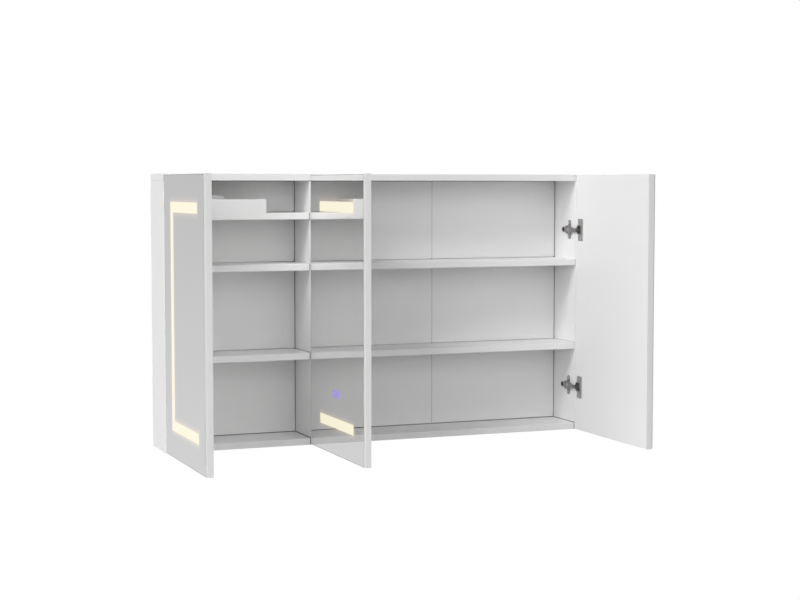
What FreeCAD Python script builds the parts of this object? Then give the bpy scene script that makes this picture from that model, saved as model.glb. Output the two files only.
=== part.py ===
"""Wall-hung cabinet with three mirror doors that carry light bars.

Sizes are in millimetres. While a piece is modelled, x runs from the cabinet's left side, y from the
carcass's front plane towards the wall, and z from the underside. Saving it moves it to the part's own frame:
the origin lies midway between the two hanger holes, on the wall plane, with +Y into the wall and +Z up.

The doors are stored open at a right angle. Each one turns on a pin inside its hinge cups.
"""
import FreeCAD, Part
import os
from math import hypot, sqrt

V = FreeCAD.Vector
X_AXIS = V(1, 0, 0)
Y_AXIS = V(0, 1, 0)
Z_AXIS = V(0, 0, 1)

# Carcass boards
WIDTH = 1000.0
HEIGHT = 600.0
DEPTH = 118.0
BOARD = 15.0
PARTITION_X = 328.0
ELECTRICS_BAY_H = 70.0
UPPER_BAY_H = 97.5
LOWER_BAY_H = 175.5
FRONT_EASE = 1.5

# Back boards, which slide into a groove round the carcass and have a dark line round each bay
BACK_T = 5.0
BACK_RECESS = 6.0
GROOVE = 5.0
LINE_W = 1.8
LINE_DEPTH = 3.5
JOINT_STEM = 1.2
JOINT_FLANGE_W = 20.0
JOINT_FLANGE_T = 1.2

# Clearance round a piece that is pushed into another
FIT = 0.1

# Wooden dowels in the board joints
DOWEL_R = 3.0
DOWEL_IN_FACE = 8.0
DOWEL_IN_END = 20.0
DOWEL_SETBACK = 26.0
DOWEL_STAGGER = 10.0

# Steel hanger plates let into the top corners of the back
HANGER_W = 44.0
HANGER_H = 62.0
HANGER_T = 2.0
HANGER_LIP = 2.0
HANGER_HOLE_X = 31.0
HANGER_HOLE_DROP = 42.0
KEYHOLE_R = 5.5
KEYHOLE_SLOT_R = 2.75
KEYHOLE_SLOT_RISE = 11.0
HANGER_SCREW_R = 1.75
HANGER_SCREW_L = 20.0
HANGER_HEAD_R = 3.5

# Electrics bay on the left-hand top shelf
FASCIA_END_X = 228.0
FASCIA_H = 30.0
FASCIA_T = 9.0
DRIVER_L = 114.5
DRIVER_W = 58.0
DRIVER_H = 39.0
DRIVER_GAP = 12.0
DRIVER_SETBACK = 30.0
DRIVER_CAP_L = 16.0
DRIVER_CAP_STEP = 1.5
TERMINAL_L = 34.0
TERMINAL_W = 17.0
TERMINAL_H = 14.0
TERMINAL_WAYS = 3
TERMINAL_SCREW_R = 2.0
TERMINAL_SCREW_DEPTH = 5.0
GROMMET_BORE_R = 5.0
GROMMET_BARREL_R = 8.0
GROMMET_FLANGE_R = 11.0
GROMMET_FLANGE_T = 1.5
GROMMET_RISE = 15.0
GROMMET_GAP = 16.0

# Door leaves and the mirror panes on them
LEAF_T = 13.0
GLASS_T = 3.0
GLASS_INSET = 1.0
DOOR_END_GAP = 1.0
EDGE_EASE = 1.2
SWING_CLEARANCE = 0.35
DOOR_SIDE_CLEARANCE = 0.9
OPEN_ANGLE = 90.0

# Light bars let into the panes, with their tape in a channel of the leaf
LED_W = 22.0
LED_END_INSET = 58.0
LED_OUTER_INSET = 56.0
LED_FREE_INSET_LEFT = 52.0
LED_FREE_INSET = 62.0
LED_CHANNEL_DEPTH = 8.0
LED_TAPE_W = 8.0
LED_TAPE_T = 1.2

# Touch switch behind the middle door's pane, with two lit signs in the glass
SIGN_PITCH = 31.0
SIGN_RISE = 132.0
SIGN_R = 7.5
SIGN_LINE = 2.0
SIGN_DEPTH = 0.6
SIGN_GAP_HALF = 2.6
SIGN_BAR_PITCH = 5.0
SWITCH_L = 62.0
SWITCH_W = 26.0
SWITCH_T = 6.0

# Concealed hinges, two to a door: cup and flange on the leaf
HINGE_LOW_Z = 102.0
HINGE_BELOW_SHELF = 29.0
CUP_R = 13.0
CUP_EDGE = 3.0
CUP_WALL = 0.7
CUP_SKIN = 0.7
MOUTH_HALF_H = 9.8
FLANGE_T = 1.0
FLANGE_START_U = 11.5
FLANGE_END_U = 34.5
FLANGE_HALF_H = 26.0
FLANGE_CORNER_R = 3.0
CUP_SCREW_Z = 20.5
CUP_SCREW_R = 1.5
CUP_SCREW_L = 9.0
CUP_HEAD_R = 3.0
CUP_HEAD_H = 1.1

# Hinge pin and the knuckle that turns on it
PIN_R = 1.1
PIN_RUN = 0.05
KNUCKLE_R = 2.1
KNUCKLE_SIDE_GAP = 1.2
RUN_CLEARANCE = 0.3
CHEEK_T = 1.2
CHEEK_HALF_W = 1.6

# Hinge arm and its mounting plate on the board
ARM_T = 2.4
REACH_HALF_W = 4.0
ARM_HALF_W = 5.0
ARM_FACE_CLEARANCE = 3.1
ARM_CHANNEL_WALL = 1.5
ARM_NECK_Y = 6.0
ARM_WIDE_L = 15.0
ARM_WIDE_HALF_W = 9.5
ARM_WAIST_Y = 42.0
ARM_WAIST_HALF_W = 5.5
ARM_EYE_Y = 51.0
ARM_EYE_R = 3.2
ARM_KNOB_R = 6.5
PLATE_MIN_H = 3.0
PLATE_WING_T = 2.0
PLATE_WING_W = 11.5
PLATE_WING_HALF_H = 22.5
PLATE_LINE_Y = 29.0
PLATE_FRONT_Y = 14.0
PLATE_REAR_Y = 57.0
PLATE_SCREW_Z = 16.0
PLATE_SCREW_R = 1.9
PLATE_SCREW_L = 12.0
PLATE_HEAD_R = 3.4
PLATE_HEAD_H = 1.6
ARM_SCREW_Y = 25.0
ARM_SCREW_R = 2.0
ARM_HEAD_R = 3.3
ARM_HEAD_H = 1.4
EYE_HEAD_R = 2.8
EYE_HEAD_H = 0.9

# Cross recess in the hinge screws' heads
RECESS_HALF_L = 1.8
RECESS_HALF_W = 0.4
RECESS_DEPTH = 0.7

# Places worked out from the sizes above
SHELF_DEPTH = DEPTH - BACK_RECESS - BACK_T
RIGHT_BAY_X = PARTITION_X + BOARD
ELECTRICS_SHELF_Z = HEIGHT - BOARD - ELECTRICS_BAY_H - BOARD
UPPER_SHELF_Z = ELECTRICS_SHELF_Z - UPPER_BAY_H - BOARD
LOWER_SHELF_Z = BOARD + LOWER_BAY_H
BACK_JOINTS_X = (PARTITION_X + BOARD / 2, (RIGHT_BAY_X + WIDTH - BOARD) / 2)
HANGER_HOLE_Z = HEIGHT - HANGER_HOLE_DROP
ELECTRICS_FLOOR_Z = ELECTRICS_SHELF_Z + BOARD
DRIVER_X = BOARD + DRIVER_GAP
TERMINAL_X = DRIVER_X + DRIVER_L + DRIVER_GAP
GROMMET_X = TERMINAL_X + GROMMET_GAP

DOOR_T = LEAF_T + GLASS_T
DOOR_H = HEIGHT - 2 * DOOR_END_GAP
CUP_DEPTH = LEAF_T - CUP_SKIN
CUP_U = CUP_EDGE + CUP_R
CUP_SCREW_U = (FLANGE_START_U + FLANGE_END_U) / 2
PIN_U = CUP_EDGE + FIT + CUP_WALL + KNUCKLE_SIDE_GAP + KNUCKLE_R
PIN_W = CUP_DEPTH - FIT - CUP_WALL - RUN_CLEARANCE - KNUCKLE_R
BACK_CORNER_SWING = max(hypot(PIN_U - EDGE_EASE, PIN_W), hypot(PIN_U, PIN_W - EDGE_EASE))
BACK_SWING = max(BACK_CORNER_SWING, PIN_W + FLANGE_T)
DOOR_STANDOFF = BACK_SWING - PIN_W + SWING_CLEARANCE
FLANGE_NEAR_U = PIN_U - sqrt(BACK_SWING ** 2 - (PIN_W + FLANGE_T) ** 2)
DOOR_GAP = hypot(PIN_U - GLASS_INSET, DOOR_T - PIN_W) - PIN_U + DOOR_SIDE_CLEARANCE
LEFT_DOOR_W = PARTITION_X - DOOR_GAP
WIDE_DOOR_W = (WIDTH - PARTITION_X - DOOR_GAP) / 2
PIN_Y = -DOOR_STANDOFF - PIN_W
PLATE_H = max(PLATE_MIN_H, PIN_U + PIN_W + ARM_FACE_CLEARANCE - BOARD)
ARM_X = BOARD + PLATE_H
HINGE_HEIGHTS = (HINGE_LOW_Z, ELECTRICS_SHELF_Z - HINGE_BELOW_SHELF)


def box(x, y, z):
    """A block from three (low, high) pairs."""
    return Part.makeBox(x[1] - x[0], y[1] - y[0], z[1] - z[0], V(x[0], y[0], z[0]))


def rod(start, direction, radius, length):
    return Part.makeCylinder(radius, length, start, direction)


def joined(solids):
    """The union of several solids, without the seams between coplanar faces."""
    return solids[0].multiFuse(solids[1:]).removeSplitter()


def bar_on(y, z, x, corner):
    """A plate across x whose outline in y and z has round corners."""
    plate = box(x, y, z)
    long_edges = [e for e in plate.Edges if abs(e.Vertexes[0].X - e.Vertexes[1].X) > FIT]
    return plate.makeFillet(corner, long_edges)


def save(name, solids):
    """Write one node, moved to the part's frame."""
    shape = solids[0] if len(solids) == 1 else Part.makeCompound(solids)
    shape = shape.copy()
    shape.translate(V(-WIDTH / 2, -DEPTH, -HANGER_HOLE_Z))
    shape.exportStep("parts/" + name + ".step")


# Carcass: the top lies over the two sides, the bottom and the partition stand between them
def board_of(x, y, z):
    """A board whose two long front edges are rounded over."""
    board = box(x, y, z)
    long_front = [e for e in board.Edges if e.CenterOfMass.y < FIT and e.Length > BOARD]
    return board.makeFillet(FRONT_EASE, long_front)


def carcass_boards():
    between_sides = (BOARD, WIDTH - BOARD)
    left_bay = (BOARD, PARTITION_X)
    right_bay = (RIGHT_BAY_X, WIDTH - BOARD)
    full_depth = (0, DEPTH)
    shelf_depth = (0, SHELF_DEPTH)
    below_top = (0, HEIGHT - BOARD)

    def shelf(bay, underside):
        return board_of(bay, shelf_depth, (underside, underside + BOARD))

    seat_z = (ELECTRICS_FLOOR_Z - FRONT_EASE, ELECTRICS_FLOOR_Z)
    fascia_seat = box((BOARD, FASCIA_END_X), (0, FASCIA_T), seat_z)
    return {
        "top_panel": board_of((0, WIDTH), full_depth, (HEIGHT - BOARD, HEIGHT)),
        "bottom_panel": board_of(between_sides, full_depth, (0, BOARD)),
        "left_side_panel": board_of((0, BOARD), full_depth, below_top),
        "right_side_panel": board_of((WIDTH - BOARD, WIDTH), full_depth, below_top),
        "partition_panel": board_of((PARTITION_X, RIGHT_BAY_X), shelf_depth, (BOARD, HEIGHT - BOARD)),
        "electrics_shelf": joined([shelf(left_bay, ELECTRICS_SHELF_Z), fascia_seat]),
        "left_upper_shelf": shelf(left_bay, UPPER_SHELF_Z),
        "left_lower_shelf": shelf(left_bay, LOWER_SHELF_Z),
        "right_upper_shelf": shelf(right_bay, UPPER_SHELF_Z),
        "right_lower_shelf": shelf(right_bay, LOWER_SHELF_Z),
    }


boards = carcass_boards()
dowels = []
hanger_screws = []
hinge_plate_screws = []
hinge_arm_screws = []


def drill(board, cutter):
    boards[board] = boards[board].cut(cutter)


def dowel_joint(face_board, end_board, point, direction):
    """One dowel, a short way into a board's face and a long way into the other board's end."""
    length = DOWEL_IN_FACE + DOWEL_IN_END
    start = point - direction * DOWEL_IN_FACE
    dowels.append(rod(start + direction * FIT, direction, DOWEL_R, length - 2 * FIT))
    hole = rod(start, direction, DOWEL_R + FIT, length)
    drill(face_board, hole)
    drill(end_board, hole)


def join_carcass():
    front, rear = DOWEL_SETBACK, SHELF_DEPTH - DOWEL_SETBACK - DOWEL_STAGGER
    mid = BOARD / 2
    partition_mid = PARTITION_X + mid
    for y in (front, rear):
        dowel_joint("top_panel", "left_side_panel", V(mid, y, HEIGHT - BOARD), -Z_AXIS)
        dowel_joint("top_panel", "right_side_panel", V(WIDTH - mid, y, HEIGHT - BOARD), -Z_AXIS)
        dowel_joint("top_panel", "partition_panel", V(partition_mid, y, HEIGHT - BOARD), -Z_AXIS)
        dowel_joint("bottom_panel", "partition_panel", V(partition_mid, y, BOARD), Z_AXIS)
        dowel_joint("left_side_panel", "bottom_panel", V(BOARD, y, mid), X_AXIS)
        dowel_joint("right_side_panel", "bottom_panel", V(WIDTH - BOARD, y, mid), -X_AXIS)
        left_shelves = (("electrics_shelf", ELECTRICS_SHELF_Z), ("left_upper_shelf", UPPER_SHELF_Z),
                        ("left_lower_shelf", LOWER_SHELF_Z))
        for shelf, z in left_shelves:
            dowel_joint("left_side_panel", shelf, V(BOARD, y, z + mid), X_AXIS)
            dowel_joint("partition_panel", shelf, V(PARTITION_X, y, z + mid), -X_AXIS)
        staggered = y + DOWEL_STAGGER
        for shelf, z in (("right_upper_shelf", UPPER_SHELF_Z), ("right_lower_shelf", LOWER_SHELF_Z)):
            dowel_joint("partition_panel", shelf, V(RIGHT_BAY_X, staggered, z + mid), X_AXIS)
            dowel_joint("right_side_panel", shelf, V(WIDTH - BOARD, staggered, z + mid), -X_AXIS)


# Back: three thin boards in one groove, with a strip behind each joint
def bay_lines(y):
    """Narrow slots round the edge of every bay, to cut from the front of the back boards."""
    depth = (y, y + LINE_DEPTH)
    low = (BOARD, LOWER_SHELF_Z)
    middle = (LOWER_SHELF_Z + BOARD, UPPER_SHELF_Z)
    above = UPPER_SHELF_Z + BOARD
    roof = HEIGHT - BOARD
    stacks = (((BOARD, PARTITION_X), (low, middle, (above, ELECTRICS_SHELF_Z), (ELECTRICS_FLOOR_Z, roof))),
              ((RIGHT_BAY_X, WIDTH - BOARD), (low, middle, (above, roof))))
    lines = []
    for x, heights in stacks:
        for z in heights:
            field = box((x[0] + LINE_W, x[1] - LINE_W), depth, (z[0] + LINE_W, z[1] - LINE_W))
            lines.append(box(x, depth, z).cut(field))
    return Part.makeCompound(lines)


def back_boards():
    low_x, high_x = BOARD - GROOVE, WIDTH - BOARD + GROOVE
    low_z, high_z = BOARD - GROOVE, HEIGHT - BOARD + GROOVE
    y = (SHELF_DEPTH, SHELF_DEPTH + BACK_T)
    groove = box((low_x, high_x), y, (low_z, high_z))
    for board in ("top_panel", "bottom_panel", "left_side_panel", "right_side_panel"):
        drill(board, groove)

    stem = JOINT_STEM / 2
    edges = [low_x + FIT]
    for x in BACK_JOINTS_X:
        edges += [x - stem - FIT, x + stem + FIT]
    edges.append(high_x - FIT)
    z = (low_z + FIT, high_z - FIT)
    lines = bay_lines(y[0])
    left, middle, right = [box((edges[i], edges[i + 1]), y, z).cut(lines) for i in (0, 2, 4)]

    strips = []
    strip_z = (BOARD + FIT, HEIGHT - BOARD - FIT)
    for x in BACK_JOINTS_X:
        web = box((x - stem, x + stem), (y[0] + FIT, y[1]), strip_z)
        half_flange = JOINT_FLANGE_W / 2
        flange = box((x - half_flange, x + half_flange), (y[1], y[1] + JOINT_FLANGE_T), strip_z)
        strips.append(joined([web, flange]))
    return left, middle, right, strips


# Hangers: a steel plate with a keyhole in each top corner of the back, flush with the boards' edges
def countersunk_screw(tip_direction, head_centre, radius, length, head_radius, head_depth):
    head = Part.makeCone(head_radius, radius, head_depth, head_centre, tip_direction)
    return joined([head, rod(head_centre, tip_direction, radius, length)])


def hanger_plate(mirrored):
    x = (HANGER_LIP, HANGER_LIP + HANGER_W)
    z = (HEIGHT - HANGER_LIP - HANGER_H, HEIGHT - HANGER_LIP)
    y = (DEPTH - HANGER_T, DEPTH)
    plate = box(x, y, z)
    entry = V(HANGER_HOLE_X, y[0], HANGER_HOLE_Z)
    slot_top = entry + Z_AXIS * KEYHOLE_SLOT_RISE
    slot = box((entry.x - KEYHOLE_SLOT_R, entry.x + KEYHOLE_SLOT_R), y, (entry.z, slot_top.z))
    keyhole = [rod(entry, Y_AXIS, KEYHOLE_R, HANGER_T), rod(slot_top, Y_AXIS, KEYHOLE_SLOT_R, HANGER_T), slot]
    plate = plate.cut(joined(keyhole))

    mid = BOARD / 2
    side = "right_side_panel" if mirrored else "left_side_panel"
    places = [(side, V(mid, DEPTH, z[0] + mid)), (side, V(mid, DEPTH, HANGER_HOLE_Z)),
              ("top_panel", V(HANGER_HOLE_X, DEPTH, HEIGHT - mid))]

    def handed(shape):
        return shape.mirror(V(WIDTH / 2, 0, 0), X_AXIS) if mirrored else shape

    rebate = handed(box(x, y, z))
    drill(side, rebate)
    drill("top_panel", rebate)
    for board, head in places:
        head_depth = HANGER_T - FIT
        screw = countersunk_screw(-Y_AXIS, head, HANGER_SCREW_R, HANGER_SCREW_L, HANGER_HEAD_R, head_depth)
        hole = countersunk_screw(-Y_AXIS, head, HANGER_SCREW_R + FIT, HANGER_SCREW_L + FIT,
                                 HANGER_HEAD_R + FIT, head_depth)
        plate = plate.cut(hole)
        drill(board, handed(hole))
        hanger_screws.append(handed(screw))
    return handed(plate)


# Electrics bay: a low fascia hides the light driver, its terminal block and the cable entry
def fascia_boards():
    z = (ELECTRICS_FLOOR_Z, ELECTRICS_FLOOR_Z + FASCIA_H)
    front = box((BOARD, FASCIA_END_X), (0, FASCIA_T), z)
    end = box((FASCIA_END_X - FASCIA_T, FASCIA_END_X), (FASCIA_T, SHELF_DEPTH), z)
    return front, end


def light_driver():
    """A case whose two terminal caps sit a step lower and narrower than its middle."""
    y = (DRIVER_SETBACK, DRIVER_SETBACK + DRIVER_W)
    z = (ELECTRICS_FLOOR_Z, ELECTRICS_FLOOR_Z + DRIVER_H)
    middle = box((DRIVER_X + DRIVER_CAP_L, DRIVER_X + DRIVER_L - DRIVER_CAP_L), y, z)
    cap_y = (y[0] + DRIVER_CAP_STEP, y[1] - DRIVER_CAP_STEP)
    caps = box((DRIVER_X, DRIVER_X + DRIVER_L), cap_y, (z[0], z[1] - DRIVER_CAP_STEP))
    return joined([middle, caps])


def terminal_block():
    x = (TERMINAL_X, TERMINAL_X + TERMINAL_L)
    y = (DRIVER_SETBACK, DRIVER_SETBACK + TERMINAL_W)
    top = ELECTRICS_FLOOR_Z + TERMINAL_H
    block = box(x, y, (ELECTRICS_FLOOR_Z, top))
    pitch = TERMINAL_L / TERMINAL_WAYS
    for way in range(TERMINAL_WAYS):
        well = V(x[0] + (way + 0.5) * pitch, (y[0] + y[1]) / 2, top)
        block = block.cut(rod(well, -Z_AXIS, TERMINAL_SCREW_R, TERMINAL_SCREW_DEPTH))
    return block


def cable_grommet(back_left):
    """A rubber grommet in the left back board, and that board with its hole."""
    z = ELECTRICS_FLOOR_Z + GROMMET_RISE
    start = V(GROMMET_X, SHELF_DEPTH, z)
    barrel = rod(start, Y_AXIS, GROMMET_BARREL_R, BACK_T)
    front = rod(start, -Y_AXIS, GROMMET_FLANGE_R, GROMMET_FLANGE_T)
    rear = rod(start + Y_AXIS * BACK_T, Y_AXIS, GROMMET_FLANGE_R, GROMMET_FLANGE_T)
    length = BACK_T + 2 * GROMMET_FLANGE_T
    bore = rod(start - Y_AXIS * GROMMET_FLANGE_T, Y_AXIS, GROMMET_BORE_R, length)
    board = back_left.cut(rod(start, Y_AXIS, GROMMET_BARREL_R + FIT, BACK_T))
    return joined([barrel, front, rear]).cut(bore), board


# Hinge on the carcass side, for a board whose outer face is at x = 0
def hinge_plate(z):
    """A cross-shaped mounting plate: two round-ended wings and a raised block that carries the arm."""
    wing_y = (PLATE_LINE_Y - PLATE_WING_W / 2, PLATE_LINE_Y + PLATE_WING_W / 2)
    wing_z = (z - PLATE_WING_HALF_H, z + PLATE_WING_HALF_H)
    wings = bar_on(wing_y, wing_z, (BOARD, BOARD + PLATE_WING_T), PLATE_WING_W / 2 - FIT)
    half = ARM_HALF_W - FIT
    block = box((BOARD, ARM_X), (PLATE_FRONT_Y, PLATE_REAR_Y), (z - half, z + half))
    plate = joined([wings, block])
    for side in (-1, 1):
        centre = V(BOARD, PLATE_LINE_Y, z + side * PLATE_SCREW_Z)
        plate = plate.cut(rod(centre, X_AXIS, PLATE_SCREW_R + FIT, PLATE_H))
    for y in (ARM_SCREW_Y, ARM_EYE_Y):
        plate = plate.cut(rod(V(BOARD, y, z), X_AXIS, ARM_SCREW_R + FIT, PLATE_H))
    return plate


def arm_cover(z):
    """The arm's flat top: it widens from the neck over the plate, then narrows to a round rear end."""
    wide_front = PLATE_LINE_Y - ARM_WIDE_L / 2
    wide_rear = PLATE_LINE_Y + ARM_WIDE_L / 2
    flank = [(ARM_NECK_Y, REACH_HALF_W), (wide_front, ARM_WIDE_HALF_W), (wide_rear, ARM_WIDE_HALF_W),
             (ARM_WAIST_Y, ARM_WAIST_HALF_W), (ARM_EYE_Y, ARM_WAIST_HALF_W)]
    upper = [V(ARM_X, y, z + half) for y, half in flank]
    lower = [V(ARM_X, y, z - half) for y, half in reversed(flank)]
    outline = Part.makePolygon(upper + lower + upper[:1])
    cover = Part.Face(outline).extrude(X_AXIS * ARM_T)
    knob = rod(V(ARM_X, ARM_EYE_Y, z), X_AXIS, ARM_KNOB_R, ARM_T)
    return [cover, knob]


def hinge_arm(z):
    """A cover and two walls over the plate, then a neck that bends into the cup and a knuckle on the pin."""
    outer = ARM_X + ARM_T
    under = BOARD + PLATE_WING_T + RUN_CLEARANCE
    wall_y = (PLATE_FRONT_Y, PLATE_LINE_Y + ARM_WIDE_L / 2)
    wall_low, wall_high = ARM_HALF_W, ARM_HALF_W + ARM_CHANNEL_WALL
    walls = [box((under, ARM_X), wall_y, (z + wall_low, z + wall_high)),
             box((under, ARM_X), wall_y, (z - wall_high, z - wall_low))]
    half_t = ARM_T / 2
    across = (z - REACH_HALF_W, z + REACH_HALF_W)
    neck = box((ARM_X, outer), (PIN_Y - half_t, PLATE_FRONT_Y), across)
    reach = box((PIN_U, outer), (PIN_Y - half_t, PIN_Y + half_t), across)
    knuckle = rod(V(PIN_U, PIN_Y, across[0]), Z_AXIS, KNUCKLE_R, 2 * REACH_HALF_W)
    arm = joined(arm_cover(z) + walls + [neck, reach, knuckle])
    arm = arm.cut(rod(V(PIN_U, PIN_Y, across[0]), Z_AXIS, PIN_R + PIN_RUN, 2 * REACH_HALF_W))
    arm = arm.cut(rod(V(ARM_X, ARM_EYE_Y, z), X_AXIS, ARM_EYE_R, ARM_T))
    return arm.cut(rod(V(ARM_X, ARM_SCREW_Y, z), X_AXIS, ARM_SCREW_R + FIT, ARM_T))


def slotted_screw(head_base, radius, length, head_radius, head_height):
    """A screw along -x whose head stands on its base plane and has a cross recess."""
    head = rod(head_base, X_AXIS, head_radius, head_height)
    shank = rod(head_base, -X_AXIS, radius, length)
    screw = joined([head, shank])
    top = head_base.x + head_height
    for half_y, half_z in ((RECESS_HALF_L, RECESS_HALF_W), (RECESS_HALF_W, RECESS_HALF_L)):
        blade = box((top - RECESS_DEPTH, top), (head_base.y - half_y, head_base.y + half_y),
                    (head_base.z - half_z, head_base.z + half_z))
        screw = screw.cut(blade)
    return screw


def fixed_hinges(side_board, edge_x, mirrored):
    """Plates, arms and screws of one door's two hinges; edge_x is the door's hinge edge when shut."""
    def set_on_board(shape):
        shape = shape.copy()
        shape.translate(V(edge_x, 0, 0))
        return shape.mirror(V(WIDTH / 2, 0, 0), X_AXIS) if mirrored else shape

    plates, arms = [], []
    for z in HINGE_HEIGHTS:
        plates.append(set_on_board(hinge_plate(z)))
        arms.append(set_on_board(hinge_arm(z)))
        for side in (-1, 1):
            base = V(BOARD + PLATE_WING_T, PLATE_LINE_Y, z + side * PLATE_SCREW_Z)
            screw = slotted_screw(base, PLATE_SCREW_R, PLATE_SCREW_L, PLATE_HEAD_R, PLATE_HEAD_H)
            hinge_plate_screws.append(set_on_board(screw))
            drill(side_board, set_on_board(rod(base, -X_AXIS, PLATE_SCREW_R + FIT, PLATE_SCREW_L + FIT)))
        base = V(ARM_X + ARM_T, ARM_SCREW_Y, z)
        top_screw = slotted_screw(base, ARM_SCREW_R, ARM_T + PLATE_H - FIT, ARM_HEAD_R, ARM_HEAD_H)
        base = V(ARM_X, ARM_EYE_Y, z)
        eye_screw = slotted_screw(base, ARM_SCREW_R, PLATE_H - FIT, EYE_HEAD_R, EYE_HEAD_H)
        hinge_arm_screws.extend([set_on_board(top_screw), set_on_board(eye_screw)])
    return plates, arms


# Doors, modelled shut and hinged on the left: u from the hinge edge, w from the inner face outwards
def door_block(u, w, z):
    return box(u, (-w[1], -w[0]), z)


def hinge_flange(z):
    """The upright strip on the leaf's inner face, with the disc that covers the cup round its mouth."""
    strip = box((FLANGE_START_U, FLANGE_END_U), (0, FLANGE_T), (z - FLANGE_HALF_H, z + FLANGE_HALF_H))
    corners = [e for e in strip.Edges if abs(e.Vertexes[0].Y - e.Vertexes[1].Y) > FIT]
    strip = strip.makeFillet(FLANGE_CORNER_R, corners)
    disc = rod(V(CUP_U, 0, z), Y_AXIS, CUP_R, FLANGE_T)
    disc = disc.cut(box((0, FLANGE_NEAR_U), (0, FLANGE_T), (z - CUP_R, z + CUP_R)))
    return [strip, disc]


def hinge_cup(z):
    """A pressed cup under its flange, with two cheeks inside that hold the pin."""
    centre = V(CUP_U, 0, z)
    inner_r = CUP_R - FIT - CUP_WALL
    hollow_depth = CUP_DEPTH - FIT - CUP_WALL
    cup = rod(centre, -Y_AXIS, CUP_R - FIT, CUP_DEPTH - FIT).cut(rod(centre, -Y_AXIS, inner_r, hollow_depth))
    cheek_w = (PIN_W - CHEEK_HALF_W - PIN_R, hollow_depth)
    cheek_u = (PIN_U - CHEEK_HALF_W, PIN_U + CHEEK_HALF_W)
    near = REACH_HALF_W + FIT
    cheeks = [door_block(cheek_u, cheek_w, (z + near, z + near + CHEEK_T)),
              door_block(cheek_u, cheek_w, (z - near - CHEEK_T, z - near))]
    mouth = rod(centre, Y_AXIS, inner_r, FLANGE_T)
    mouth = mouth.common(box((0, FLANGE_END_U), (0, FLANGE_T), (z - MOUTH_HALF_H, z + MOUTH_HALF_H)))
    flange = joined(hinge_flange(z)).cut(mouth)
    cup = joined([cup, flange] + cheeks)
    half_pin = near + CHEEK_T
    cup = cup.cut(rod(V(PIN_U, -PIN_W, z - half_pin), Z_AXIS, PIN_R + PIN_RUN, 2 * half_pin))
    for side in (-1, 1):
        hole = V(CUP_SCREW_U, 0, z + side * CUP_SCREW_Z)
        cup = cup.cut(rod(hole, Y_AXIS, CUP_SCREW_R + FIT, FLANGE_T))
    return cup


def hinge_pin(z):
    half_pin = REACH_HALF_W + FIT + CHEEK_T
    return rod(V(PIN_U, -PIN_W, z - half_pin), Z_AXIS, PIN_R, 2 * half_pin)


def cup_screw(z):
    seat = V(CUP_SCREW_U, FLANGE_T, z)
    head = rod(seat, Y_AXIS, CUP_HEAD_R, CUP_HEAD_H)
    return joined([head, rod(seat, -Y_AXIS, CUP_SCREW_R, FLANGE_T + CUP_SCREW_L)])


def light_path(width, band, start, free_inset, upright):
    """A door's light bars as (u pair, z pair) blocks; upright adds the bar beside the hinge edge.

    start is how far the full bars begin from the hinge edge. A narrower band keeps their middle lines.
    """
    trim = (LED_W - band) / 2
    low = (LED_END_INSET + trim, LED_END_INSET + LED_W - trim)
    high = (DOOR_H - low[1], DOOR_H - low[0])
    reach = (start + trim, width - free_inset - trim)
    bars = [(reach, low), (reach, high)]
    if upright:
        bars.append(((start + trim, start + LED_W - trim), (low[0], high[1])))
    return bars


def light_solids(bars, w):
    """Blocks along the bars at one depth: one bent bar when they meet, two straight ones otherwise."""
    blocks = [door_block(u, w, z) for u, z in bars]
    return [joined(blocks)] if len(blocks) > 2 else blocks


def touch_signs(width):
    """Two generic lit signs in the glass: a ring with a stroke through its gap, and three rising bars."""
    z = SIGN_RISE
    w = (DOOR_T - SIGN_DEPTH, DOOR_T)
    signs = []
    centre = width / 2 - SIGN_PITCH / 2
    front = V(centre, -DOOR_T, z)
    ring = rod(front, Y_AXIS, SIGN_R, SIGN_DEPTH).cut(rod(front, Y_AXIS, SIGN_R - SIGN_LINE, SIGN_DEPTH))
    ring = ring.cut(door_block((centre - SIGN_GAP_HALF, centre + SIGN_GAP_HALF), w, (z, z + SIGN_R)))
    stroke = door_block((centre - SIGN_LINE / 2, centre + SIGN_LINE / 2), w, (z + SIGN_LINE / 2, z + SIGN_R))
    signs += [ring, stroke]
    centre = width / 2 + SIGN_PITCH / 2
    for step in (-1, 0, 1):
        u = centre + step * SIGN_BAR_PITCH
        signs.append(door_block((u - SIGN_LINE / 2, u + SIGN_LINE / 2), w, (z - SIGN_R, z + SIGN_R)))
    return signs


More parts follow.
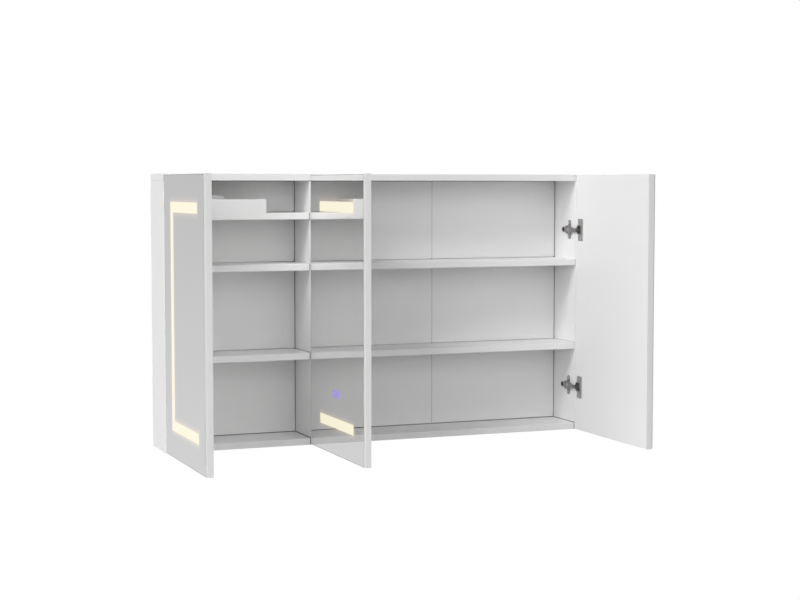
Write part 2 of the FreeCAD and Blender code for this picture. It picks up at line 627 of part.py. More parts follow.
def build_door(name, edge_x, width, start, free_inset, upright, mirrored, touch):
    """Save every piece of one door, swung open about its pin."""
    def hung(shape):
        shape = shape.copy()
        shape.translate(V(edge_x, -DOOR_STANDOFF, DOOR_END_GAP))
        shape.rotate(V(edge_x + PIN_U, PIN_Y, 0), Z_AXIS, -OPEN_ANGLE)
        return shape.mirror(V(WIDTH / 2, 0, 0), X_AXIS) if mirrored else shape

    height = (0, DOOR_H)
    leaf = door_block((0, width), (0, LEAF_T), height)
    back_edge = [e for e in leaf.Edges if abs(e.CenterOfMass.x) < FIT and abs(e.CenterOfMass.y) < FIT]
    leaf = leaf.makeChamfer(EDGE_EASE, back_edge)
    pane_z = (GLASS_INSET, DOOR_H - GLASS_INSET)
    pane = door_block((GLASS_INSET, width - GLASS_INSET), (LEAF_T, DOOR_T), pane_z)

    bars = light_path(width, LED_W, start, free_inset, upright)
    diffusers = light_solids(bars, (LEAF_T, DOOR_T))
    for diffuser in diffusers:
        pane = pane.cut(diffuser)
    for channel in light_solids(bars, (LEAF_T - LED_CHANNEL_DEPTH, LEAF_T)):
        leaf = leaf.cut(channel)
    tape_bars = light_path(width, LED_TAPE_W, start, free_inset, upright)
    floor_w = LEAF_T - LED_CHANNEL_DEPTH
    tapes = light_solids(tape_bars, (floor_w, floor_w + LED_TAPE_T))

    cups, pins, screws = [], [], []
    for height_on_carcass in HINGE_HEIGHTS:
        z = height_on_carcass - DOOR_END_GAP
        cups.append(hinge_cup(z))
        pins.append(hinge_pin(z))
        leaf = leaf.cut(rod(V(CUP_U, 0, z), -Y_AXIS, CUP_R, CUP_DEPTH))
        for side in (-1, 1):
            place = z + side * CUP_SCREW_Z
            screws.append(cup_screw(place))
            leaf = leaf.cut(rod(V(CUP_SCREW_U, 0, place), -Y_AXIS, CUP_SCREW_R + FIT, CUP_SCREW_L + FIT))

    if touch:
        middle = width / 2
        half_l, half_w = SWITCH_L / 2, SWITCH_W / 2
        switch_z = (SIGN_RISE - half_w, SIGN_RISE + half_w)
        switch = door_block((middle - half_l, middle + half_l), (LEAF_T - SWITCH_T, LEAF_T), switch_z)
        leaf = leaf.cut(switch)
        signs = touch_signs(width)
        for sign in signs:
            pane = pane.cut(sign)
        save("touch_switch", [hung(switch)])
        save("touch_signs", [hung(sign) for sign in signs])

    save(name + "_door_leaf", [hung(leaf)])
    save(name + "_door_mirror", [hung(pane)])
    save(name + "_door_diffuser", [hung(diffuser) for diffuser in diffusers])
    save(name + "_door_led_tape", [hung(tape) for tape in tapes])
    save(name + "_hinge_cups", [hung(cup) for cup in cups])
    save(name + "_hinge_pins", [hung(pin) for pin in pins])
    save(name + "_hinge_cup_screws", [hung(screw) for screw in screws])


os.makedirs("parts", exist_ok=True)

join_carcass()
back_left, back_middle, back_right, joint_strips = back_boards()
hanger_plates = [hanger_plate(False), hanger_plate(True)]
grommet, back_left = cable_grommet(back_left)
fascia_front, fascia_end = fascia_boards()

for hinge_name, board, hinge_edge, right_handed in (("left", "left_side_panel", 0.0, False),
                                                    ("middle", "partition_panel", PARTITION_X, False),
                                                    ("right", "right_side_panel", 0.0, True)):
    hinge_plates, hinge_arms = fixed_hinges(board, hinge_edge, right_handed)
    save(hinge_name + "_hinge_plates", hinge_plates)
    save(hinge_name + "_hinge_arms", hinge_arms)

for board_name, board_solid in boards.items():
    save(board_name, [board_solid])
save("back_panel_left", [back_left])
save("back_panel_middle", [back_middle])
save("back_panel_right", [back_right])
save("back_joint_strips", joint_strips)
save("panel_dowels", dowels)
save("hanger_plates", hanger_plates)
save("hanger_screws", hanger_screws)
save("electrics_fascia_front", [fascia_front])
save("electrics_fascia_end", [fascia_end])
save("light_driver", [light_driver()])
save("terminal_block", [terminal_block()])
save("cable_grommet", [grommet])
save("hinge_plate_screws", hinge_plate_screws)
save("hinge_arm_screws", hinge_arm_screws)

build_door("left", 0.0, LEFT_DOOR_W, LED_OUTER_INSET, LED_FREE_INSET_LEFT, True, False, False)
build_door("middle", PARTITION_X, WIDE_DOOR_W, LED_FREE_INSET, LED_FREE_INSET, False, False, True)
build_door("right", 0.0, WIDE_DOOR_W, LED_OUTER_INSET, LED_FREE_INSET, True, True, False)
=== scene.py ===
import bpy
import numpy as np
from math import radians
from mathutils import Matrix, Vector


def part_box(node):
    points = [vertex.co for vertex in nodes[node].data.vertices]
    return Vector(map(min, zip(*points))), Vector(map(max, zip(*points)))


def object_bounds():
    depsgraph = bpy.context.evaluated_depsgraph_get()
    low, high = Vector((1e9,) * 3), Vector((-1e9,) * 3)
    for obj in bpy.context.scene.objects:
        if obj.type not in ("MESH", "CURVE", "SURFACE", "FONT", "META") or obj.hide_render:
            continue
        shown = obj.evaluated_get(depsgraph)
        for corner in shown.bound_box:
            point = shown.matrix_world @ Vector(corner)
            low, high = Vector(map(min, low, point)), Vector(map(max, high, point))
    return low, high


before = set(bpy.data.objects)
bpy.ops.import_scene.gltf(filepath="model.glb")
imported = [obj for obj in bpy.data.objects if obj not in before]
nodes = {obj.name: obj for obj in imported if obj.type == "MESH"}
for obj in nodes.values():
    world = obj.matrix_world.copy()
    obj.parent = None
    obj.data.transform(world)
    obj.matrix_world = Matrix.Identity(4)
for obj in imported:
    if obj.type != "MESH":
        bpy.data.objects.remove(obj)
cad_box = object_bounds()


# Carcass boards: 15 mm particle board with white melamine faces and thin plastic banding on its front edges.
# The bottom, partition and shelves are dowelled and glued between the sides, and the top lies over the sides.
# Fine dark lines of painted shade show where the boards meet.
class Shade:
    """A shader socket. Sums with numbers or other sockets add Math nodes to the same tree."""

    def __init__(self, tree, socket=None):
        self.tree = tree
        self.socket = socket

    def add(self, kind, settings, sockets, out=0):
        """One new node: its settings come first, then the values or links of its sockets."""
        node = self.tree.nodes.new(kind)
        for key, value in settings.items():
            setattr(node, key, value)
        for key, value in sockets.items():
            if isinstance(value, Shade):
                self.tree.links.new(value.socket, node.inputs[key])
            else:
                node.inputs[key].default_value = value
        return Shade(self.tree, node.outputs[out])

    def math(self, operation, first, second=0.0):
        return self.add("ShaderNodeMath", {"operation": operation}, {0: first, 1: second})

    def __add__(self, other):
        return self.math("ADD", self, other)

    __radd__ = __add__

    def __sub__(self, other):
        return self.math("SUBTRACT", self, other)

    def __rsub__(self, other):
        return self.math("SUBTRACT", other, self)

    def __mul__(self, other):
        return self.math("MULTIPLY", self, other)

    __rmul__ = __mul__

    def __lt__(self, other):
        return self.math("LESS_THAN", self, other)

    def __gt__(self, other):
        return self.math("GREATER_THAN", self, other)

    def __abs__(self):
        return self.math("ABSOLUTE", self)

    def most(self, other):
        return self.math("MAXIMUM", self, other)

    def least(self, other):
        return self.math("MINIMUM", self, other)


def new_finish(name, settings):
    """A material, its shader with the settings that are the same all over, and the Object coordinates."""
    material = bpy.data.materials.new(name)
    material.use_nodes = True
    tree = material.node_tree
    shader = tree.nodes["Principled BSDF"]
    for key, value in settings.items():
        shader.inputs[key].default_value = value
    return material, shader, Shade(tree).add("ShaderNodeTexCoord", {}, {}, "Object")


def feed(shader, name, shade):
    """Links a shade to one of the shader's sockets."""
    shade.tree.links.new(shade.socket, shader.inputs[name])


def axis_of(place, letter):
    """One coordinate of a point: its X, Y or Z in metres."""
    return place.add("ShaderNodeSeparateXYZ", {}, {0: place}, "XYZ".index(letter))


def cloud(place, per_metre, detail=2.0):
    """Soft random spots from 0 to 1, with about this many to the metre."""
    return place.add("ShaderNodeTexNoise", {}, {"Vector": place, "Scale": per_metre, "Detail": detail})


def streaks(place, per_metre, detail):
    """Soft random spots drawn out into streaks by their own number to the metre along X, Y and Z."""
    drawn = place.add("ShaderNodeMapping", {}, {"Vector": place, "Scale": per_metre})
    return cloud(drawn, 1.0, detail)


def spread(shade, span):
    """The value that goes from the span's low end to its high end as the shade goes from 0 to 1."""
    return span[0] + (span[1] - span[0]) * shade


def between(factor, first, second):
    """The colour that goes from first to second as the factor goes from 0 to 1."""
    return factor.add("ShaderNodeMix", {"data_type": "RGBA"}, {0: factor, 6: first, 7: second}, 2)


def relief(shader, height, depth):
    """Raises the surface by up to the depth as the height goes from 0 to 1."""
    feed(shader, "Normal", height.add("ShaderNodeBump", {}, {
        "Strength": 1.0, "Distance": depth, "Height": height}))


def dress(material, *names):
    """Gives the named nodes a material."""
    for name in names:
        for slot in nodes[name].material_slots:
            slot.material = material


def grey(level):
    """A plain grey as a colour, with its alpha."""
    return (level, level, level, 1)


def beside(place, lines, reach):
    """1 within the reach of any of the lines across X, and 0 elsewhere."""
    near = abs(axis_of(place, "X") - lines[0]) < reach
    for line in lines[1:]:
        near = near.most(abs(axis_of(place, "X") - line) < reach)
    return near


def shade_strip_over(height, board_top):
    """1 in the low strip of an upright just over a board that meets it, where shade is painted, and 0
    elsewhere.
    """
    return (height > board_top + SHADE_STRIP_START) * (height < board_top + SHADE_STRIP_H)


BOARD_WHITE = (0.878, 0.873, 0.874, 1)
BOARD_SHADE = (0.858, 0.853, 0.854, 1)
BOARD_TONES_PER_M = 5
BOARD_ROUGH = (0.40, 0.54)
HANDLED_PER_M = 17
PEARL_PER_M = 1100
PEARL_DEPTH = 0.00002
BAND_T = 0.0009
BAND_LINE = 0.68
BAND_LINE_HALF_W = 0.00012
TOP_SHADE_LINE = 0.72
TOP_LINE_HALF_W = 0.0005
UPPER_SHADE_LINE = 0.30
SHELF_SHADE_LINE = 0.10
FOOT_SHADE_LINE = 0.08
SIDE_FOOT_SHADE_LINE = 0.45
END_LINE_MID = 0.00075
END_LINE_HALF_W = 0.0007
SHELF_STRIP_SHADE = 0.55
FOOT_STRIP_SHADE = 0.12
SHADE_STRIP_REACH = 0.0015
SHADE_STRIP_H = 0.0015
SHADE_STRIP_START = 0.0001
top_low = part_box("top_panel")[0]
front_y, top_under = top_low[1], top_low[2]
foot_under, foot_top = [corner[2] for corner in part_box("bottom_panel")]
shelf_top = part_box("left_lower_shelf")[1][2]
back_front, back_rear = [corner[1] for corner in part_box("back_panel_middle")]
left_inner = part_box("left_side_panel")[1][0]
right_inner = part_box("right_side_panel")[0][0]
partition_left, partition_right = [corner[0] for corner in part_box("partition_panel")]
at_partition = (partition_left - END_LINE_MID, partition_right + END_LINE_MID)
at_sides = (left_inner + END_LINE_MID, right_inner - END_LINE_MID)
meetings = at_partition + at_sides

melamine, skin, place = new_finish("white_melamine", {"IOR": 1.48, "Specular IOR Level": 0.4})
depth, height = axis_of(place, "Y"), axis_of(place, "Z")
on_carcass = depth > front_y - END_LINE_HALF_W
in_bays = on_carcass * (depth < back_front) * (height > foot_under + END_LINE_HALF_W)
low_down = height < shelf_top + END_LINE_HALF_W
at_foot = height < foot_top + END_LINE_HALF_W
faces = between(cloud(place, BOARD_TONES_PER_M, detail=3), BOARD_WHITE, BOARD_SHADE)
# Painted shade: dark lines beside the partition, darker below the lower shelf and darkest at the bottom, and
# paler ones at the foot of the sides.
partition_shade_mask = beside(place, at_partition, END_LINE_HALF_W) * (height < top_under - END_LINE_HALF_W)
partition_shade = between(low_down, grey(UPPER_SHADE_LINE), between(at_foot, grey(SHELF_SHADE_LINE), grey(FOOT_SHADE_LINE)))
faces = between(partition_shade_mask * in_bays, faces, partition_shade)
side_shade_mask = beside(place, at_sides, END_LINE_HALF_W) * at_foot
faces = between(side_shade_mask * in_bays, faces, grey(SIDE_FOOT_SHADE_LINE))
# Painted shade: a low dark strip on each upright just over the lower shelf and over the bottom.
upright = beside(place, meetings, SHADE_STRIP_REACH) * in_bays
faces = between(upright * shade_strip_over(height, shelf_top), faces, grey(SHELF_STRIP_SHADE))
faces = between(upright * shade_strip_over(height, foot_top), faces, grey(FOOT_STRIP_SHADE))
# Painted shade: a faint dark line on the sides where the top lies over them.
on_side = abs(axis_of(place, "X")) > right_inner + END_LINE_HALF_W
top_shade_mask = abs(height - top_under) < TOP_LINE_HALF_W
faces = between(top_shade_mask * on_side * on_carcass, faces, grey(TOP_SHADE_LINE))
band_joint = abs(depth - (front_y + BAND_T)) < BAND_LINE_HALF_W
feed(skin, "Base Color", between(band_joint, faces, grey(BAND_LINE)))
feed(skin, "Roughness", spread(cloud(place, HANDLED_PER_M, detail=4), BOARD_ROUGH))
relief(skin, cloud(place, PEARL_PER_M, detail=3), PEARL_DEPTH)
dress(melamine, "top_panel", "bottom_panel", "left_side_panel", "right_side_panel", "partition_panel",
      "electrics_shelf", "left_upper_shelf", "left_lower_shelf", "right_upper_shelf", "right_lower_shelf",
      "electrics_fascia_front", "electrics_fascia_end")


# Back boards: three thin hardboard panels with a rolled white coat, held in grooves of the carcass.
# Plastic strips behind the panels cover the two joints between them.
COAT_WHITE = 0.875
COAT_SHADE = 0.855
COAT_TONES_PER_M = 7
COAT_ROUGH = (0.50, 0.62)
COAT_SHEEN_PER_M = 30
ROLLED_PER_M = (420, 420, 60)
ROLLED_DEPTH = 0.00004
COAT_T = 0.0006
SLOT_WALL_SHADE = 0.30
SLOT_SHADE_REACH = 0.003
coat, skin, place = new_finish("rolled_white_coat", {"IOR": 1.46, "Specular IOR Level": 0.3})
depth = axis_of(place, "Y")
# Painted shade: the walls of the slots round the bays are dark near the bottom and beside the uprights.
slot_walls = (depth > back_front + COAT_T) * (depth < back_rear - COAT_T)
at_rim = (axis_of(place, "Z") < foot_top + SLOT_SHADE_REACH).most(beside(place, meetings, SLOT_SHADE_REACH))
faces = between(cloud(place, COAT_TONES_PER_M, detail=3), grey(COAT_WHITE), grey(COAT_SHADE))
feed(skin, "Base Color", between(slot_walls * at_rim, faces, grey(SLOT_WALL_SHADE)))
feed(skin, "Roughness", spread(cloud(place, COAT_SHEEN_PER_M), COAT_ROUGH))
relief(skin, streaks(place, ROLLED_PER_M, detail=3), ROLLED_DEPTH)
dress(coat, "back_panel_left", "back_panel_middle", "back_panel_right")

STRIP_WHITE = 0.80
STRIP_WEB_SHADE = 0.48
STRIP_SHADE_DEPTH = 0.0015
MOULDED_ROUGH = (0.38, 0.50)
MOULDED_SHEEN_PER_M = 220
strip_plastic, skin, place = new_finish("joint_strip_plastic", {"IOR": 1.49})
# Painted shade: the front of each strip, seen between the back panels, is darker.
shaded_web = axis_of(place, "Y") < back_front + STRIP_SHADE_DEPTH
feed(skin, "Base Color", between(shaded_web, grey(STRIP_WHITE), grey(STRIP_WEB_SHADE)))
feed(skin, "Roughness", spread(cloud(place, MOULDED_SHEEN_PER_M), MOULDED_ROUGH))
dress(strip_plastic, "back_joint_strips")


# Dowels: beech pins of 6 mm, fluted so that the glue spreads.
# They are glued into the ends of the boards and hidden in the joints.
BEECH = (0.60, 0.42, 0.25, 1)
BEECH_DARK = (0.42, 0.26, 0.14, 1)
BEECH_ROUGH = (0.55, 0.75)
GRAIN_PER_M = (60, 500, 500)
GRAIN_DEPTH = 0.0001
beech, skin, place = new_finish("beech", {"Specular IOR Level": 0.3})
grain = streaks(place, GRAIN_PER_M, detail=4)
feed(skin, "Base Color", between(grain, BEECH, BEECH_DARK))
feed(skin, "Roughness", spread(grain, BEECH_ROUGH))
relief(skin, grain, GRAIN_DEPTH)
dress(beech, "panel_dowels")


# Hanger plates: pressed steel with keyholes, zinc plated and screwed to the boards in the top back corners.
# Each plate hangs on a wall screw, and its countersunk screws are zinc plated too.
ZINC = (0.60, 0.61, 0.63, 1)
ZINC_SHADE = (0.50, 0.51, 0.54, 1)
ZINC_ROUGH = (0.30, 0.46)
SPANGLES_PER_M = 260
ZINC_GRAIN_PER_M = 900
ZINC_GRAIN_DEPTH = 0.00004
zinc, skin, place = new_finish("zinc_plate", {"Metallic": 1.0})
spangle = place.add("ShaderNodeTexVoronoi", {}, {"Vector": place, "Scale": SPANGLES_PER_M}, "Color")
flake = spangle.add("ShaderNodeRGBToBW", {}, {0: spangle})
feed(skin, "Base Color", between(flake, ZINC, ZINC_SHADE))
feed(skin, "Roughness", spread(flake, ZINC_ROUGH))
relief(skin, cloud(place, ZINC_GRAIN_PER_M), ZINC_GRAIN_DEPTH)
dress(zinc, "hanger_plates", "hanger_screws")


# Electrics bay: a light driver and a terminal block of moulded plastic, screened by two low fascia boards.
# The supply comes in from the wall through a black rubber grommet in the back board.
PLASTIC_WHITE = 0.80
PLASTIC_SHADE = 0.74
PLASTIC_TONES_PER_M = 40
MOULD_GRAIN_PER_M = 2600
MOULD_GRAIN_DEPTH = 0.00005
white_plastic, skin, place = new_finish("moulded_white_plastic", {"IOR": 1.49})
tones = cloud(place, PLASTIC_TONES_PER_M)
feed(skin, "Base Color", between(tones, grey(PLASTIC_WHITE), grey(PLASTIC_SHADE)))
feed(skin, "Roughness", spread(cloud(place, MOULDED_SHEEN_PER_M), MOULDED_ROUGH))
relief(skin, cloud(place, MOULD_GRAIN_PER_M, detail=1), MOULD_GRAIN_DEPTH)
dress(white_plastic, "light_driver", "terminal_block")

RUBBER = 0.018
RUBBER_DUST = 0.035
DUST_PER_M = 300
RUBBER_ROUGH = (0.60, 0.80)
RUBBER_SHEEN_PER_M = 150
RUBBER_GRAIN_PER_M = 3000
RUBBER_GRAIN_DEPTH = 0.00006
rubber, skin, place = new_finish("black_rubber", {"IOR": 1.5, "Specular IOR Level": 0.35})
feed(skin, "Base Color", between(cloud(place, DUST_PER_M, detail=3), grey(RUBBER), grey(RUBBER_DUST)))
feed(skin, "Roughness", spread(cloud(place, RUBBER_SHEEN_PER_M), RUBBER_ROUGH))
relief(skin, cloud(place, RUBBER_GRAIN_PER_M, detail=1), RUBBER_GRAIN_DEPTH)
dress(rubber, "cable_grommet")


# Hinges: nickel-plated pressed steel plates, arms and cups, with the plates screwed on beside the front edge.
# Each arm is clamped by a blackened screw in its rear eye and reaches forward to the pin in the door's cup.
# The screws of plates and cups are zinc plated.
DOORS = ("left", "middle", "right")
NICKEL = (0.42, 0.415, 0.405)
NICKEL_SHADE = (0.27, 0.265, 0.26)
NICKEL_TONES_PER_M = 120
NICKEL_ROUGH = (0.36, 0.52)
DRAWN_PER_M = (900, 900, 90)
DRAWN_DEPTH = 0.00002
CUP_PAINTED_LIGHT = 1.35


def toned(colour, tone):
    """A colour scaled by the tone, with its alpha."""
    return (*[part * tone for part in colour], 1)


def nickel_plate(name, tone):
    """Drawn nickel plate, with its two colours scaled by the tone; a tone above 1 is painted light."""
    material, skin, place = new_finish(name, {"Metallic": 1.0})
    drawn = streaks(place, DRAWN_PER_M, detail=3)
    feed(skin, "Roughness", spread(drawn, NICKEL_ROUGH))
    relief(skin, drawn, DRAWN_DEPTH)
    tones = cloud(place, NICKEL_TONES_PER_M, detail=3)
    colour = between(tones, toned(NICKEL, tone), toned(NICKEL_SHADE, tone))
    feed(skin, "Base Color", colour)
    return material, skin, place, colour


nickel = nickel_plate("nickel_plate", 1.0)[0]
dress(nickel, *[door + "_hinge_" + piece for door in DOORS for piece in ("plates", "pins")])
# The cups take the plate nickel made lighter all over, a painted light in the deep cups.
lightened_cup_nickel = nickel_plate("lightened_cup_nickel", CUP_PAINTED_LIGHT)[0]
dress(lightened_cup_nickel, *[door + "_hinge_cups" for door in DOORS])
dress(zinc, "hinge_plate_screws", *[door + "_hinge_cup_screws" for door in DOORS])

BLACKENED = (0.03, 0.03, 0.032, 1)
EYE_BEHIND = 0.051
EYE_DISC_R = 0.0046
PLATE_HALF_H = 0.0225
lowest, highest = [corner[2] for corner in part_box("left_hinge_plates")]
arm_nickel, skin, place, colour = nickel_plate("arm_nickel", 1.0)
from_eye = axis_of(place, "Y") - (front_y + EYE_BEHIND)
from_low = axis_of(place, "Z") - (lowest + PLATE_HALF_H)
from_high = axis_of(place, "Z") - (highest - PLATE_HALF_H)
nearest = (from_low * from_low).least(from_high * from_high) + from_eye * from_eye
# A black disc is painted on each arm round its rear eye.
feed(skin, "Base Color", between(nearest < EYE_DISC_R ** 2, colour, BLACKENED))
dress(arm_nickel, *[door + "_hinge_arms" for door in DOORS])

CLAMP_BEHIND = 0.04
CLAMP_WEAR_PER_M = 500
CLAMP_ROUGH = (0.32, 0.52)
clamp, skin, place = new_finish("clamp_screw", {"Metallic": 1.0})
behind = axis_of(place, "Y") > front_y + CLAMP_BEHIND
worn = cloud(place, CLAMP_WEAR_PER_M)
feed(skin, "Base Color", between(behind, between(worn, ZINC, ZINC_SHADE), BLACKENED))
feed(skin, "Roughness", spread(worn, CLAMP_ROUGH))
dress(clamp, "hinge_arm_screws")


# Door leaves: 13 mm melamine board with eased, banded edges, bored for the hinges and grooved for the lights.
# The mirror is glued on the front of the leaf, and the door hangs on two hinges.
dress(melamine, *[door + "_door_leaf" for door in DOORS])


# Mirrors: 3 mm float glass, silvered on its back, with bare ground edges and slots for the light covers.
# A faint warm glow is painted into the glass beside the lit covers, and a violet glow and tint round the
# signs.
SILVER = (0.948, 0.947, 0.946, 1)
ARRIS = (0.50, 0.51, 0.505, 1)
ARRIS_W = 0.0016
GROUND_EDGE = (0.785, 0.795, 0.79, 1)
EDGE_REACH = 0.0004
COVER_W = 0.022
SPILL = (0.15, 0.095, 0.045, 1)
SPILL_REACH = 0.016
SIGN_R = 0.0075
HALO_IN = 0.0030
HALO_OUT = 0.0120
HALO_PAINTED_TINT = (0.84, 0.75, 0.93, 1)
HALO_GLOW = (0.06, 0.02, 0.38, 1)


def beyond(place, letter, span):
    """How far a point lies outside the span (low, high) along one axis, or 0 inside it."""
    return (abs(axis_of(place, letter) - (span[0] + span[1]) / 2) - (span[1] - span[0]) / 2).most(0.0)


def root_of_squares(first, second):
    """The straight distance that two offsets at right angles add up to."""
    return first.math("SQRT", first * first + second * second)


def spill_from(place, y, z):
    """The painted glow beside one cover: the square of how near a point is, from 1 at its edge to 0 at the
    reach.
    """
    gap = root_of_squares(beyond(place, "Y", y), beyond(place, "Z", z))
    near = (1 - gap * (1 / SPILL_REACH)).most(0.0)
    return near * near


def border(place, box, width):
    """1 within the width of a pane's four sides, and 0 further in."""
    low, high = box
    return (beyond(place, "Y", (low[1] + width, high[1] - width)) > 0.0).most(
        beyond(place, "Z", (low[2] + width, high[2] - width)) > 0.0)


def halo(place, y, z):
    """The painted light round the signs: 1 near the line from middle to middle, falling to 0 at the outer
    reach.
    """
    gap = root_of_squares(beyond(place, "Y", y), axis_of(place, "Z") - z)
    return ((HALO_OUT - gap) * (1 / (HALO_OUT - HALO_IN))).most(0.0).least(1.0)


for door in DOORS:
    mirror, skin, place = new_finish(door + "_silvered_glass", {
        "Roughness": 0.0, "IOR": 1.52, "Emission Strength": 1.0})
    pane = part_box(door + "_door_mirror")
    ground = border(place, pane, EDGE_REACH)
    # Round each pane the silver is darker in a narrow border.
    face = between(border(place, pane, ARRIS_W), SILVER, ARRIS)
    glow = grey(0)
    if door == "middle":
        low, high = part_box("touch_signs")
        lit = halo(place, (low[1] + SIGN_R, high[1] - SIGN_R), (low[2] + high[2]) / 2)
        face = between(lit, face, HALO_PAINTED_TINT)
        glow = between(lit, glow, HALO_GLOW)
    feed(skin, "Base Color", between(ground, face, GROUND_EDGE))
    feed(skin, "Metallic", 1 - ground)
    low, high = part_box(door + "_door_diffuser")
    spill = spill_from(place, (low[1], high[1]), (high[2] - COVER_W, high[2])).most(
        spill_from(place, (low[1], high[1]), (low[2], low[2] + COVER_W)))
    if door != "middle":
        spill = spill.most(spill_from(place, (high[1] - COVER_W, high[1]), (low[2], high[2])))
    feed(skin, "Emission Color", between(spill, glow, SPILL))
    dress(mirror, door + "_door_mirror")


# Light covers: opal strips set flush in the mirror, lit from behind by the light tapes.
# A tape is a white strip with rows of yellow light chips, glued into a channel of the leaf.
GLOW = (0.825, 0.775, 0.585, 1)
OPAL = 0.10
OPAL_SHADE = 0.085
OPAL_TONES_PER_M = 60
opal, skin, place = new_finish("lit_opal", {
    "Roughness": 0.45, "Emission Color": GLOW, "Emission Strength": 1.0})
feed(skin, "Base Color", between(cloud(place, OPAL_TONES_PER_M), grey(OPAL), grey(OPAL_SHADE)))
dress(opal, *[door + "_door_diffuser" for door in DOORS])

TAPE_WHITE = (0.75, 0.74, 0.70, 1)
CHIP_YELLOW = (0.85, 0.62, 0.12, 1)
CHIPS_PER_M = 120
tape, skin, place = new_finish("light_tape", {"Roughness": 0.4})
chips = place.add("ShaderNodeTexChecker", {}, {"Vector": place, "Scale": CHIPS_PER_M}, "Fac")
feed(skin, "Base Color", between(chips, TAPE_WHITE, CHIP_YELLOW))
dress(tape, *[door + "_door_led_tape" for door in DOORS])


# Touch switch: a dark plastic sensor fixed behind the middle mirror.
# Its two signs are frosted into the glass, where the silver is left off, and lit from behind.
SENSOR = 0.03
SENSOR_SHADE = 0.05
SENSOR_TONES_PER_M = 400
SENSOR_ROUGH = (0.45, 0.60)
SENSOR_SHEEN_PER_M = 90
sensor, skin, place = new_finish("dark_plastic", {"IOR": 1.5})
feed(skin, "Base Color", between(cloud(place, SENSOR_TONES_PER_M), grey(SENSOR), grey(SENSOR_SHADE)))
feed(skin, "Roughness", spread(cloud(place, SENSOR_SHEEN_PER_M), SENSOR_ROUGH))
dress(sensor, "touch_switch")

FROST = (0.12, 0.09, 0.30, 1)
FROST_SHADE = (0.10, 0.07, 0.28, 1)
FROST_PER_M = 900
SIGN_GLOW = (0.25, 0.18, 0.68, 1)
sign, skin, place = new_finish("lit_sign", {
    "Roughness": 0.5, "Emission Color": SIGN_GLOW, "Emission Strength": 1.0})
feed(skin, "Base Color", between(cloud(place, FROST_PER_M), FROST, FROST_SHADE))
dress(sign, "touch_signs")


# Studio: a pale floor well below the cabinet, a white surround, soft lamps and grey flats for the mirrors.
# The camera stands at the photograph's viewing angle, level with the top of the cabinet.
def sheet_mesh(name, u, v, place_of):
    """A grid of points: place_of gives x, y and z for the two parameters of each point."""
    uu, vv = np.meshgrid(u, v, indexing="ij")
    points = np.stack(place_of(uu, vv), axis=-1).reshape(-1, 3)
    index = np.arange(len(u) * len(v)).reshape(len(u), len(v))
    corners = np.stack([index[:-1, :-1], index[1:, :-1], index[1:, 1:], index[:-1, 1:]], axis=-1)
    mesh = bpy.data.meshes.new(name)
    mesh.from_pydata(points.tolist(), [], corners.reshape(-1, 4).tolist())
    thing = bpy.data.objects.new(name, mesh)
    bpy.context.scene.collection.objects.link(thing)
    return thing


FLOOR_DROP = 1.1
FLOOR_Z = cad_box[0][2] - FLOOR_DROP
FLOOR_Y = -0.2
FLOOR_EYE_R = 0.0005
FLOOR_R = 2.6
FADE_R = 1.3
FLOOR_RINGS = 12
FLOOR_SPOKES = 97
FLOOR_PALE = 0.80
FLOOR_SHADE = 0.77
FLOOR_TONES_PER_M = 3


def floor_place(radius, turn):
    """A disc: the radius and the angle round its middle."""
    return radius * np.cos(turn), FLOOR_Y + radius * np.sin(turn), np.full_like(radius, FLOOR_Z)


floor = sheet_mesh("floor", np.linspace(FLOOR_EYE_R, FLOOR_R, FLOOR_RINGS),
                   np.linspace(0, 2 * np.pi, FLOOR_SPOKES), floor_place)
floor_paint, skin, place = new_finish("pale_floor", {"Roughness": 0.8, "Specular IOR Level": 0.1})
tones = cloud(place, FLOOR_TONES_PER_M, detail=3)
feed(skin, "Base Color", between(tones, grey(FLOOR_PALE), grey(FLOOR_SHADE)))
from_middle = root_of_squares(axis_of(place, "X"), axis_of(place, "Y") - FLOOR_Y)
feed(skin, "Alpha", ((FLOOR_R - from_middle) * (1 / (FLOOR_R - FADE_R))).most(0.0).least(1.0))
floor.data.materials.append(floor_paint)

FLAT_TOP = 0.48
FLAT_FOOT = 0.68


def flat_at(depth):
    """The upright plane at one depth: its points for the two parameters x and z."""
    def flat_place(across, height):
        return across, np.full_like(across, depth), height
    return flat_place


def mirror_flat(name, depth, x, z, fade_z, full_x):
    """A plane that only reflections show: greyer from foot to top, and paling to white outside full_x."""
    flat = sheet_mesh(name, np.array(x), np.array(z), flat_at(depth))
    paint, skin, place = new_finish(name + "_paint", {
        "Base Color": grey(0), "Roughness": 1.0, "Specular IOR Level": 0.0, "Emission Strength": 1.0})
    rise = (axis_of(place, "Z") - fade_z[0]) * (1 / (fade_z[1] - fade_z[0]))
    pale = beyond(place, "X", full_x) * (1 / max(full_x[0] - x[0], x[1] - full_x[1]))
    feed(skin, "Emission Color", between(pale, between(rise, grey(FLAT_FOOT), grey(FLAT_TOP)), grey(1)))
    flat.data.materials.append(paint)
    flat.visible_camera = False
    flat.visible_diffuse = False
    flat.visible_shadow = False


mirror_flat("left_flat", depth=1.5, x=(-7.0, -0.62), z=(-4.0, 2.2), fade_z=(-1.0, 0.6), full_x=(-2.6, -0.62))
mirror_flat("right_flat", depth=1.5, x=(0.62, 7.0), z=(-4.0, 2.2), fade_z=(-1.0, 0.6), full_x=(0.62, 2.6))
mirror_flat("front_flat", depth=-20.0, x=(-26.0, 26.0), z=(-30.0, 1.0), fade_z=(-9.0, 1.0),
            full_x=(-8.0, 8.0))

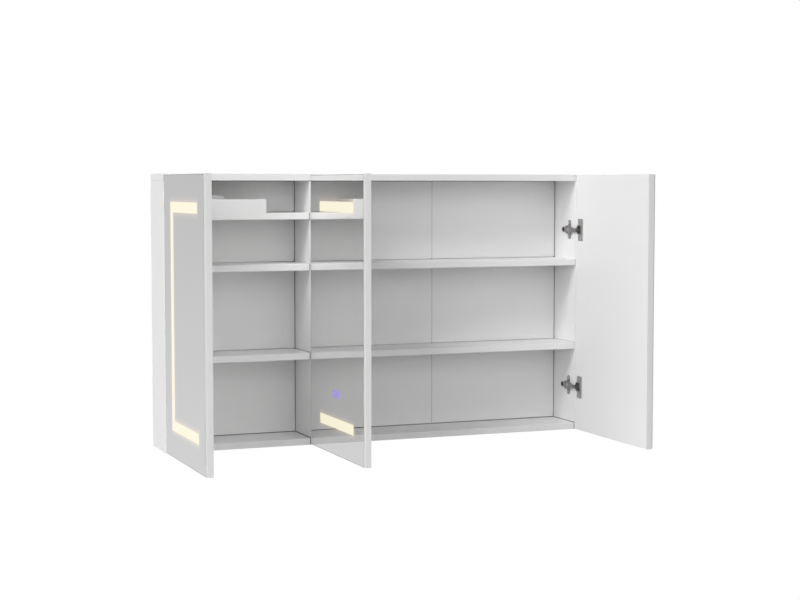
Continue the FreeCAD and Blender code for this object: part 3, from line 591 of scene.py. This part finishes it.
AMBIENT = 0.116
WHITE_TO = ("Is Camera Ray", "Is Glossy Ray", "Is Transmission Ray")
world = bpy.data.worlds.new("white_surround")
bpy.context.scene.world = world
world.use_nodes = True
shown = Shade(world.node_tree).add("ShaderNodeLightPath", {}, {}, WHITE_TO[0])
for ray in WHITE_TO[1:]:
    shown = shown.most(shown.add("ShaderNodeLightPath", {}, {}, ray))
background = world.node_tree.nodes["Background"]
background.inputs["Color"].default_value = grey(1)
feed(background, "Strength", spread(shown, (AMBIENT, 1.0)))


def soft_lamp(name, spot, aim, size, watts):
    """A round lamp of the given width that faces its aim and that the camera doesn't show."""
    lamp = bpy.data.lights.new(name, "AREA")
    lamp.shape = "DISK"
    lamp.size = size
    lamp.energy = watts
    holder = bpy.data.objects.new(name, lamp)
    holder.location = spot
    offset = np.array(aim) - np.array(spot)
    turn = np.arctan2(-offset[0], offset[1])
    tilt = np.arctan2(offset[2], np.hypot(offset[0], offset[1]))
    holder.rotation_euler = (float(np.pi / 2 + tilt), 0, float(turn))
    holder.visible_camera = False
    bpy.context.scene.collection.objects.link(holder)


# Each lamp has its turn to the right of the front and its rise in degrees, its width in metres and its watts.
MIDDLE = np.array((0.0, -0.1, -0.25))
LAMP_DISTANCE = 12
LAMPS = (("key_lamp", -60, 42, 4.5, 660), ("left_lamp", -80, 16, 7.0, 386), ("low_lamp", -50, 14, 7.0, 340),
         ("front_lamp", -10, 24, 8.0, 205), ("right_lamp", 24, 16, 6.0, 135),
         ("back_lamp", 140, 26, 7.0, 520))
for name, turn, rise, size, watts in LAMPS:
    level, up = np.cos(radians(rise)), np.sin(radians(rise))
    heading = np.array((level * np.sin(radians(turn)), -level * np.cos(radians(turn)), up))
    soft_lamp(name, (MIDDLE + LAMP_DISTANCE * heading).tolist(), MIDDLE, size, watts)

IMAGE_W = 800
FOCAL_PX = 1665.3
SENSOR_MM = 36
CAMERA_AT = (-1.34213, -3.60022, 0.01754)
CAMERA_DIP = 3.94784
CAMERA_TURN = -21.66619
CAMERA_REACH = 50
camera = bpy.data.cameras.new("camera")
camera.sensor_width = SENSOR_MM
camera.lens = FOCAL_PX * SENSOR_MM / IMAGE_W
camera.clip_end = CAMERA_REACH
viewer = bpy.data.objects.new("camera", camera)
viewer.location = CAMERA_AT
viewer.rotation_euler = (radians(90 - CAMERA_DIP), 0, radians(CAMERA_TURN))
bpy.context.scene.collection.objects.link(viewer)
bpy.context.scene.camera = viewer
bpy.context.scene.view_settings.view_transform = "Standard"
